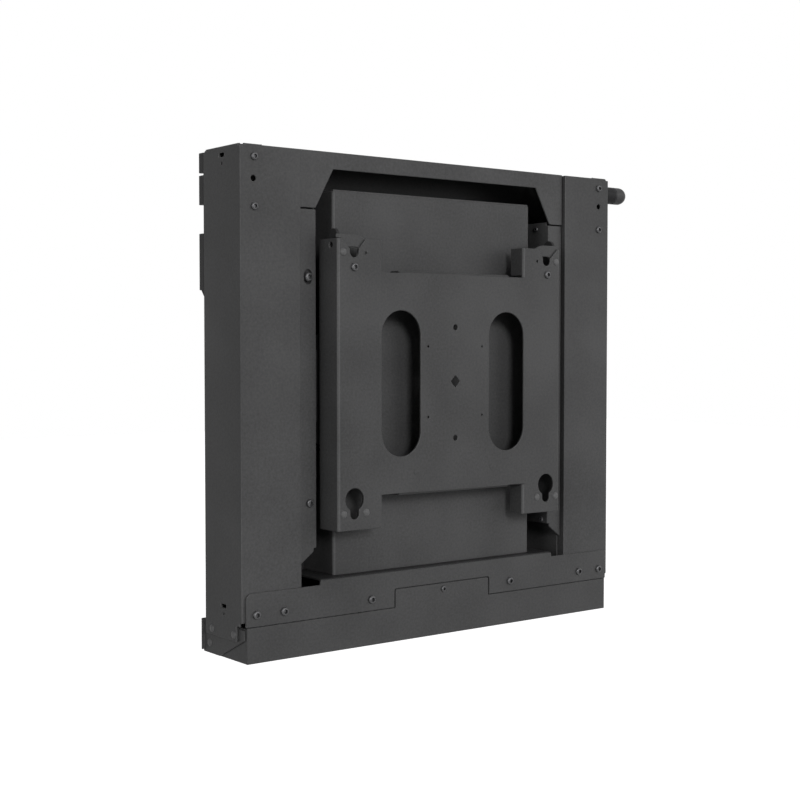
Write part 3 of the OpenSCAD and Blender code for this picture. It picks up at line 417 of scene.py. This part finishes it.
deburred("wall_spacer_bosses", "wall_spacers", zinc, edge=0.3)
hanger_seats = [(HANGER_X, HANGER_Y, z) for z in (151.6, -139.8)]
fastened("hanger_screw_set", button_screws, paired(hanger_seats, FRONT, 9, 4.6, 9.4),
         zinc, ["hanger_screws"])

# Back panel and channels
# The frame's flat back and its two C channels with return lips, bent from 1.5 and 2 mm sheet.
# Tapped backing plates sit behind the channels' faces, held by two black screws each.

# Faces that look this far to the front and to the left take the painted highlight.
HIGHLIGHT_FRONT, HIGHLIGHT_LEFT = -0.25, -0.3


def painted_highlights(piece, finish):
    """Gives the bends and edges that look front and left a paler coat, as a painted highlight."""
    piece.data.materials.append(finish)
    for face in piece.data.polygons:
        if face.normal.y < HIGHLIGHT_FRONT and face.normal.x < HIGHLIGHT_LEFT:
            face.material_index = 1


# A paler coat that paints the highlight on edges, bends and rivet heads.
painted_highlight_coat = powder_coat("rubbed powder coat", (0.089, 0.089, 0.09), 0.12)

# The back panel and the backing plates take the darker coat as painted shade.
deburred("back_panel_sheet", "back_panel", recess_shade_coat)
# The channels' bends that face front and left get the painted highlight.
left_channel = deburred("left_channel_fold", "left_channel", grey_coat, edge=0.6)
painted_highlights(left_channel, painted_highlight_coat)
right_channel = deburred("right_channel_fold", "right_channel", grey_coat, edge=0.6)
painted_highlights(right_channel, painted_highlight_coat)
deburred("left_backing_sheet", "left_backing_plate", recess_shade_coat)
deburred("right_backing_sheet", "right_backing_plate", recess_shade_coat)

# Header, strips, shelf and centre box
# The folded front panels around the window and the housing over the drive, bent from 1.5 mm
# sheet. All have the grey coat except the shelf under the window, whose darker coat is painted
# shade.

deburred("header_fold", "header", grey_coat, edge=0.5)
deburred("left_strip_fold", "left_strip", grey_coat, edge=0.5)
deburred("right_strip_fold", "right_strip", grey_coat, edge=0.5)
deburred("base_shelf_fold", "base_shelf", recess_shade_coat, edge=0.5)
# The box's bends that face front and left get the painted highlight.
centre_box = deburred("centre_box_fold", "centre_box", grey_coat, edge=0.5)
painted_highlights(centre_box, painted_highlight_coat)

# Cover, tray and end plates
# The flat plate over the frame's foot, the trough under it and the two plates that close its
# ends and reach back to the wall. Coated domed rivets join them, their paler coat a painted
# highlight, and a tab in the darker coat of painted shade fills a corner.

WEB_X, END_PLATE_X = 190.7, 188.7
TAB_LOW, TAB_HIGH = (186.5, -59.6, -181.0), (188.7, -50.8, -175.0)

deburred("bottom_cover_sheet", "bottom_cover", grey_coat, edge=0.5)
deburred("bottom_tray_fold", "bottom_tray", grey_coat, edge=0.5)
deburred("left_end_sheet", "left_end_plate", grey_coat, edge=0.5)
deburred("right_end_sheet", "right_end_plate", grey_coat, edge=0.5)

bm = bmesh.new()
add_box(bm, TAB_LOW, TAB_HIGH)
foot_tab = new_object("foot_corner_tab", mesh_from(bm, "foot_corner_tab"))
settle(foot_tab, recess_shade_coat, body_of_node["bottom_cover"])

domed_rings = ((0.3, 0.96), (0.62, 0.82), (0.86, 0.58), (1.0, 0.26))
domed_rivets = head_tree("domed rivets", domed_rings, False)
end_seats = (
    (WEB_X, -16.8, -186.3),
    (WEB_X, -48.4, -186.2),
    (END_PLATE_X, -9.5, -198.6),
)
# The rivet heads take the paler coat as a painted highlight.
fastened("end_rivet_set", domed_rivets, paired(end_seats, OUTWARDS, 6, 3.7, 3.4),
         painted_highlight_coat, ["end_rivets"], height=0.2)

# Front screws
# Black oxide button-head screws of steel with a hexagon socket. They hold the channels' backing
# plates, the strips, the cover and the tray's middle tab.

CHANNEL_FRONT, STRIP_FRONT, COVER_FRONT = -60, -56, -61.5
STRIP_WALL_X = 121.3


def black_oxide(name):
    """Oiled black oxide on steel, a little lighter where the surface is worn."""
    finish, tree, shader, place = new_finish(name, 0.4, metal=0.6)
    cloud = noise(tree, place, 700.0, 3.0)
    two_tone(tree, shader, from_noise(tree, cloud), (0.05, 0.05, 0.052), (0.085, 0.085, 0.088))
    uneven_gloss(tree, shader, cloud, 0.34, 0.46)
    skin(tree, shader, noise(tree, place, 1800.0), 0.2, 0.00004)
    return finish


fastener_black = black_oxide("black oxide")

channel_seats = [(178.5, CHANNEL_FRONT, z) for z in (167.7, 131.2)]
wall_seats = [(STRIP_WALL_X, y, z) for y, z in ((-41.2, 130.0), (-49.1, -123.2))]
cover_seats = [(x, COVER_FRONT, -170.8) for x in (179, 154.4, 72.9)]
front_rows = [
    *paired(channel_seats, FRONT, 6, 3, 5),
    *paired([(128.5, STRIP_FRONT, 80.9)], FRONT, 7.2, 3, 8),
    *paired([(127.6, STRIP_FRONT, -91.6)], FRONT, 6.5, 3, 1.4),
    *paired(wall_seats, INWARDS, 4.5, 3, 3),
    *paired(cover_seats, FRONT, 6.6, 3, 5),
    ((0, COVER_FRONT, -169.9), FRONT, 5, 3, 4),
]
fastened("front_screw_set", button_screws, front_rows, fastener_black,
         ["channel_screws", "strip_screws", "cover_screws"])

# Guide rods
# Ground and polished steel rods, clamped in milled blocks at both ends. Rubber rings on them
# stop the carriage at the top and at the bottom.

ROUND_LINES = (1, 1, 40)


def ground_steel(name, tint, roughness):
    """Ground steel with very fine lines round it."""
    finish, tree, shader, place = new_finish(name, roughness, metal=1.0)
    stretched = add(tree, "ShaderNodeMapping", {"Vector": place, "Scale": ROUND_LINES}).outputs[0]
    lines = noise(tree, stretched, 90.0, 2.0)
    two_tone(tree, shader, from_noise(tree, lines), [c * 0.8 for c in tint], tint)
    uneven_gloss(tree, shader, lines, roughness - 0.05, roughness + 0.07)
    skin(tree, shader, lines, 0.15, 0.00003)
    return finish


def moulded(name, colour, roughness, grain=900.0, strength=0.3, specular=0.45):
    """Moulded plastic or rubber with a fine spark-eroded grain."""
    finish, tree, shader, place = new_finish(name, roughness, specular=specular)
    fine = noise(tree, place, grain, 3.0, 0.6)
    two_tone(tree, shader, from_noise(tree, fine), [c * 0.85 for c in colour], colour)
    uneven_gloss(tree, shader, fine, roughness - 0.06, roughness + 0.06)
    skin(tree, shader, fine, strength, 0.0001)
    return finish


steel = ground_steel("ground steel", (0.56, 0.57, 0.58), 0.24)
rubber = moulded("black rubber", (0.016, 0.016, 0.016), 0.8)

deburred("guide_rod_pair", "guide_rods", steel, edge=0.5)
deburred("rod_clamp_blocks", "rod_blocks", recess_shade_coat, edge=0.5)
deburred("rod_rubber_rings", "rod_bumpers", rubber, edge=0.6)

# Lead screw
# A rolled steel screw with a round-edged thread, 5 mm a turn, carried in two ball bearings on
# the back panel. A moulded gear is pressed on its lower end.

SCREW_Y = -30.3
THREAD_RADIUS, THREAD_DEPTH, THREAD_PITCH = 6.0, 0.9, 5.0
ROWS_A_TURN, STEPS_ROUND = 12, 36
FLANK_SLOPE, GROOVE_FLOOR, PLAIN_END = 5.0, 0.9, 3.0
THREAD_ANGLE = 50


def thread_radius(z, share, low, high):
    """The screw's radius in mm at a height and a share of a turn. Both its ends are plain."""
    phase = (z / THREAD_PITCH - share) % 1.0
    rise = min(1.0, max(0.0, abs(phase - 0.5) * FLANK_SLOPE - GROOVE_FLOOR))
    inside = min(1.0, max(0.0, min(z - low, high - z) - PLAIN_END))
    return THREAD_RADIUS - THREAD_DEPTH * (1 - rise) * inside


def threaded_rod(name, low, high):
    """A screw between two heights as one closed mesh: a column of rings round its axis."""
    bm = bmesh.new()
    count = int((high - low) * ROWS_A_TURN / THREAD_PITCH)
    rings = []
    for row in range(count + 1):
        z = low + (high - low) * row / count
        ring = []
        for step in range(STEPS_ROUND):
            turn = 2 * math.pi * step / STEPS_ROUND
            r = thread_radius(z, step / STEPS_ROUND, low, high)
            ring.append(bm.verts.new((r * math.cos(turn), SCREW_Y + r * math.sin(turn), z)))
        rings.append(ring)
    for under, over in zip(rings, rings[1:]):
        for step in range(STEPS_ROUND):
            after = (step + 1) % STEPS_ROUND
            bm.faces.new((under[step], under[after], over[after], over[step]))
    bm.faces.new(list(reversed(rings[0])))
    bm.faces.new(rings[-1])
    bmesh.ops.scale(bm, vec=(MM, MM, MM), verts=bm.verts)
    piece = new_object(name, mesh_from(bm, name))
    shade(piece, THREAD_ANGLE)
    return piece


black_plastic = moulded("black plastic", (0.022, 0.022, 0.023), 0.46)

screw_low, screw_high = (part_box("lead_screw")[k].z / MM for k in (0, 1))
lead_screw = threaded_rod("lead_screw_thread", screw_low, screw_high)
settle(lead_screw, steel, body_of_node["lead_screw"], ["lead_screw"])
deburred("screw_bearing_rings", "screw_bearings", steel, edge=0.4)
deburred("screw_bearing_brackets", "screw_bearing_blocks", recess_shade_coat, edge=0.5)
deburred("screw_gear_wheel", "screw_gear", black_plastic, edge=0.12, parts=1)

# Motor and gearbox
# A drawn steel can with a planetary gearbox of die-cast zinc, hung from an angle on the back
# panel. Its steel pinion turns the gear on the lead screw.

deburred("motor_can", "motor", steel, edge=0.4)
deburred("gearbox_body", "motor_gearbox", zinc, edge=0.4)
deburred("motor_angle", "motor_bracket", recess_shade_coat, edge=0.5)
deburred("motor_pinion_wheel", "motor_pinion", steel, edge=0.12, parts=1)

# Control board, switches and supply
# A green board on standoffs, two moulded limit switches beside the beam's path and a ribbed
# plug-in supply that lies in the tray.


def solder_mask(name):
    """Green lacquer over a laminate, with tinned spots."""
    finish, tree, shader, place = new_finish(name, 0.3)
    cells = add(tree, "ShaderNodeTexVoronoi", {"Vector": place, "Scale": 340.0})
    dotted = spread(tree, cells.outputs["Distance"], 0.16, 0.2, 1.0, 0.0)
    two_tone(tree, shader, dotted, (0.012, 0.075, 0.03), (0.4, 0.4, 0.38))
    skin(tree, shader, dotted, 0.3, 0.0001)
    return finish


green_mask = solder_mask("green circuit board")

deburred("control_board_parts", "control_board", green_mask, edge=0.3, parts=2)
deburred("board_standoff_posts", "board_standoffs", zinc, edge=0.3, parts=2)
deburred("limit_switch_bodies", "limit_switches", black_plastic,
         edge=0.4, parts=2)
deburred("power_supply_case", "power_supply", black_plastic, edge=0.8)

# Cable gland
# A moulded nylon gland screwed through the right-hand web, with a flat nut inside. Its domed
# cap nut outside is painted paler, as a painted highlight.

CAP_LENGTH = 16.0

matt_nylon = moulded("matt black nylon", (0.012, 0.012, 0.0125), 0.6, 900.0, 0.5, 0.12)
cap_highlight_nylon = moulded("black nylon with painted highlight", (0.046, 0.046, 0.047), 0.5, 700.0, 0.6, 0.14)

gland = deburred("cable_gland_body", "cable_gland", matt_nylon, edge=0.4)
gland.data.materials.append(cap_highlight_nylon)
cap_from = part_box("cable_gland")[1].x - CAP_LENGTH * MM
# The cap's faces take the paler nylon: a painted highlight.
for face in gland.data.polygons:
    if face.center.x > cap_from:
        face.material_index = 1
deburred("gland_flat_nut", "gland_nut", black_plastic, edge=0.5)

# Carriage
# Milled side plates and arms, steel slide blocks with bronze bushings on the rods, and a folded
# beam with the bronze nut that the lead screw moves.

bronze = plated("cast bronze", (0.5, 0.32, 0.13), 0.3)

deburred("left_carriage_side", "left_carriage_plate", recess_shade_coat, edge=0.5)
deburred("right_carriage_side", "right_carriage_plate", recess_shade_coat, edge=0.5)
deburred("carriage_arm_pair", "carriage_arms", recess_shade_coat, edge=0.5)
deburred("slide_block_pair", "slide_blocks", steel, edge=0.5)
deburred("slide_bushing_set", "slide_bushings", bronze, edge=0.3)
deburred("cross_beam_fold", "cross_beam", recess_shade_coat, edge=0.5)
deburred("drive_nut_body", "drive_nut", bronze, edge=0.4)
arm_seats = [(110.5, -40, z) for z in (-18, 18)]
fastened("carriage_screw_set", button_screws, paired(arm_seats, INWARDS, 8, 4.6, 10.8),
         zinc, ["carriage_screws"])

# TV bracket
# One 2 mm sheet with four ears, folded sides, open slots above and keyholes below for the TV's
# screws, in the grey coat. Thin plates stiffen the keyholes from behind, held by coated rivets.

BRACKET_FRONT = -77
EAR_IN, WEB_TOP, WEB_LOW = 73.3, 87.0, -88.6
SLIT_HEIGHT, SLIT_LENGTH, CLEAR = 1.7, 16.1, 0.4


def relief_boxes():
    """Two boxes at each ear: one through the front sheet and one through the fold beside it."""
    heights = ((WEB_TOP - SLIT_HEIGHT, WEB_TOP + CLEAR), (WEB_LOW - CLEAR, WEB_LOW + SLIT_HEIGHT))
    depths = ((-78.0, -74.0, EAR_IN - 0.2), (-75.0, -57.0, EAR_IN + 2.7))
    boxes = []
    for side in (-1, 1):
        for low, high in heights:
            for front, back, far in depths:
                inner, outer = sorted((side * (EAR_IN - SLIT_LENGTH), side * far))
                boxes.append(((inner, front, low), (outer, back, high)))
    return boxes


# The bracket's bends that face front and left get the painted highlight.
bracket = deburred("tv_bracket_fold", "tv_bracket", grey_coat, edge=0.6,
                   cuts=relief_boxes())
painted_highlights(bracket, painted_highlight_coat)
deburred("keyhole_backer_pair", "keyhole_backers", recess_shade_coat, edge=0.4)

rivet_places = ((110.6, 99.5), (110.6, -99.5), (89.4, -99.5))
rivet_seats = [(x, BRACKET_FRONT, z) for x, z in rivet_places]
# The rivet heads take the paler coat as a painted highlight.
fastened("bracket_rivet_set", domed_rivets, paired(rivet_seats, FRONT, 6, 3.7, 3.5),
         painted_highlight_coat, ["bracket_rivets"], height=0.2)

flush_rivets = head_tree("flush rivets", ((0.5, 1.0), (1.0, 0.84)), False)
flush_seats = [(39.6, BRACKET_FRONT, -70.8)]
fastened("flush_rivet_pair", flush_rivets, paired(flush_seats, FRONT, 6.4, 3.6, 1.8),
         grey_coat, ["bracket_rivets"], height=0.05, stands_for=False)

# Latches
# Two stamped sheet fans in the grey coat that swing over the open slots. Each turns on a black
# shouldered screw, held by a hexagon nut behind the bracket.

PIVOT_X, PIVOT_Z = 100.4, 88.5
NUT_BACK = -73.1

deburred("left_latch_fan", "left_latch", grey_coat, edge=0.4)
deburred("right_latch_fan", "right_latch", grey_coat, edge=0.4)

pivot_seats = [(PIVOT_X, BRACKET_FRONT, PIVOT_Z)]
fastened("pivot_screw_set", button_screws, paired(pivot_seats, FRONT, 6.4, 4.9, 6.2),
         fastener_black, ["pivot_screws"])

hexagon_nuts = head_tree("hexagon nuts", ((0.85, 1.0), (1.0, 0.93)), False, corners=6)
nut_seats = [(PIVOT_X, NUT_BACK, PIVOT_Z)]
fastened("pivot_nut_pair", hexagon_nuts, paired(nut_seats, BACK, 9, 4.9, 1.5),
         fastener_black, ["pivot_screws"], height=0.27, stands_for=False)

# Studio
# A plain pale floor in an even surround, four soft lamps from far off and the photograph's own
# viewpoint. Floor and surround shine for the camera and in reflections, and light almost nothing.

FLOOR_Z, FLOOR_REACH = -0.6, 8
FLOOR_GLOW, SURROUND_LIGHT = 0.85, 0.02
LAMP_DISTANCE = 2

floor_mesh = bpy.data.meshes.new("floor")
floor_corners = [
    (x * FLOOR_REACH, y * FLOOR_REACH, FLOOR_Z) for x, y in ((-1, -1), (1, -1), (1, 1), (-1, 1))
]
floor_mesh.from_pydata(floor_corners, [], [(0, 1, 2, 3)])
floor = new_object("floor", floor_mesh)
floor_paint = bpy.data.materials.new("pale floor")
floor_paint.use_nodes = True
tree = floor_paint.node_tree
paint = tree.nodes["Principled BSDF"]
paint.inputs["Base Color"].default_value = (0.6, 0.6, 0.6, 1)
paint.inputs["Roughness"].default_value = 0.9
paint.inputs["Emission Color"].default_value = (1, 1, 1, 1)
rays = add(tree, "ShaderNodeLightPath").outputs
seen = calculated(tree, "MAXIMUM", rays["Is Camera Ray"], rays["Is Glossy Ray"])
tree.links.new(calculated(tree, "MULTIPLY", seen, FLOOR_GLOW), paint.inputs["Emission Strength"])
floor_mesh.materials.append(floor_paint)

world = bpy.data.worlds.new("studio")
bpy.context.scene.world = world
world.use_nodes = True
sky = world.node_tree
surround = sky.nodes["Background"]
surround.inputs["Color"].default_value = (1, 1, 1, 1)
rays = add(sky, "ShaderNodeLightPath").outputs
seen = calculated(sky, "MAXIMUM", rays["Is Camera Ray"], rays["Is Transmission Ray"])
seen = calculated(sky, "MAXIMUM", seen, rays["Is Glossy Ray"])
sky.links.new(spread(sky, seen, 0.0, 1.0, SURROUND_LIGHT, 1.0), surround.inputs["Strength"])


def far_lamp(name, azimuth, elevation, width, strength):
    """A far soft lamp: degrees left of the front and above the level, and its own width."""
    data = bpy.data.lights.new(name, "SUN")
    data.angle = math.radians(width)
    data.energy = strength
    light = new_object(name, data)
    a, e = math.radians(azimuth), math.radians(elevation)
    away = Vector((-math.sin(a) * math.cos(e), -math.cos(a) * math.cos(e), math.sin(e)))
    light.location = away * LAMP_DISTANCE
    light.rotation_euler = away.to_track_quat("Z", "Y").to_euler()


far_lamp("key lamp", 17, 19, 17, 1.5)
far_lamp("front lamp", -6, 4, 40, 0.42)
far_lamp("right lamp", -38, 12, 58, 1.45)
far_lamp("left lamp", 80, 8, 40, 0.85)

camera_data = bpy.data.cameras.new("camera")
camera_data.lens = 63.95
camera_data.sensor_width = 36
camera = new_object("camera", camera_data)
camera.location = (-0.7332, -0.9556, 0.0299)
camera.rotation_euler = (math.radians(87.75), 0, math.radians(-37.6))
bpy.context.scene.camera = camera
bpy.context.scene.view_settings.view_transform = "Standard"
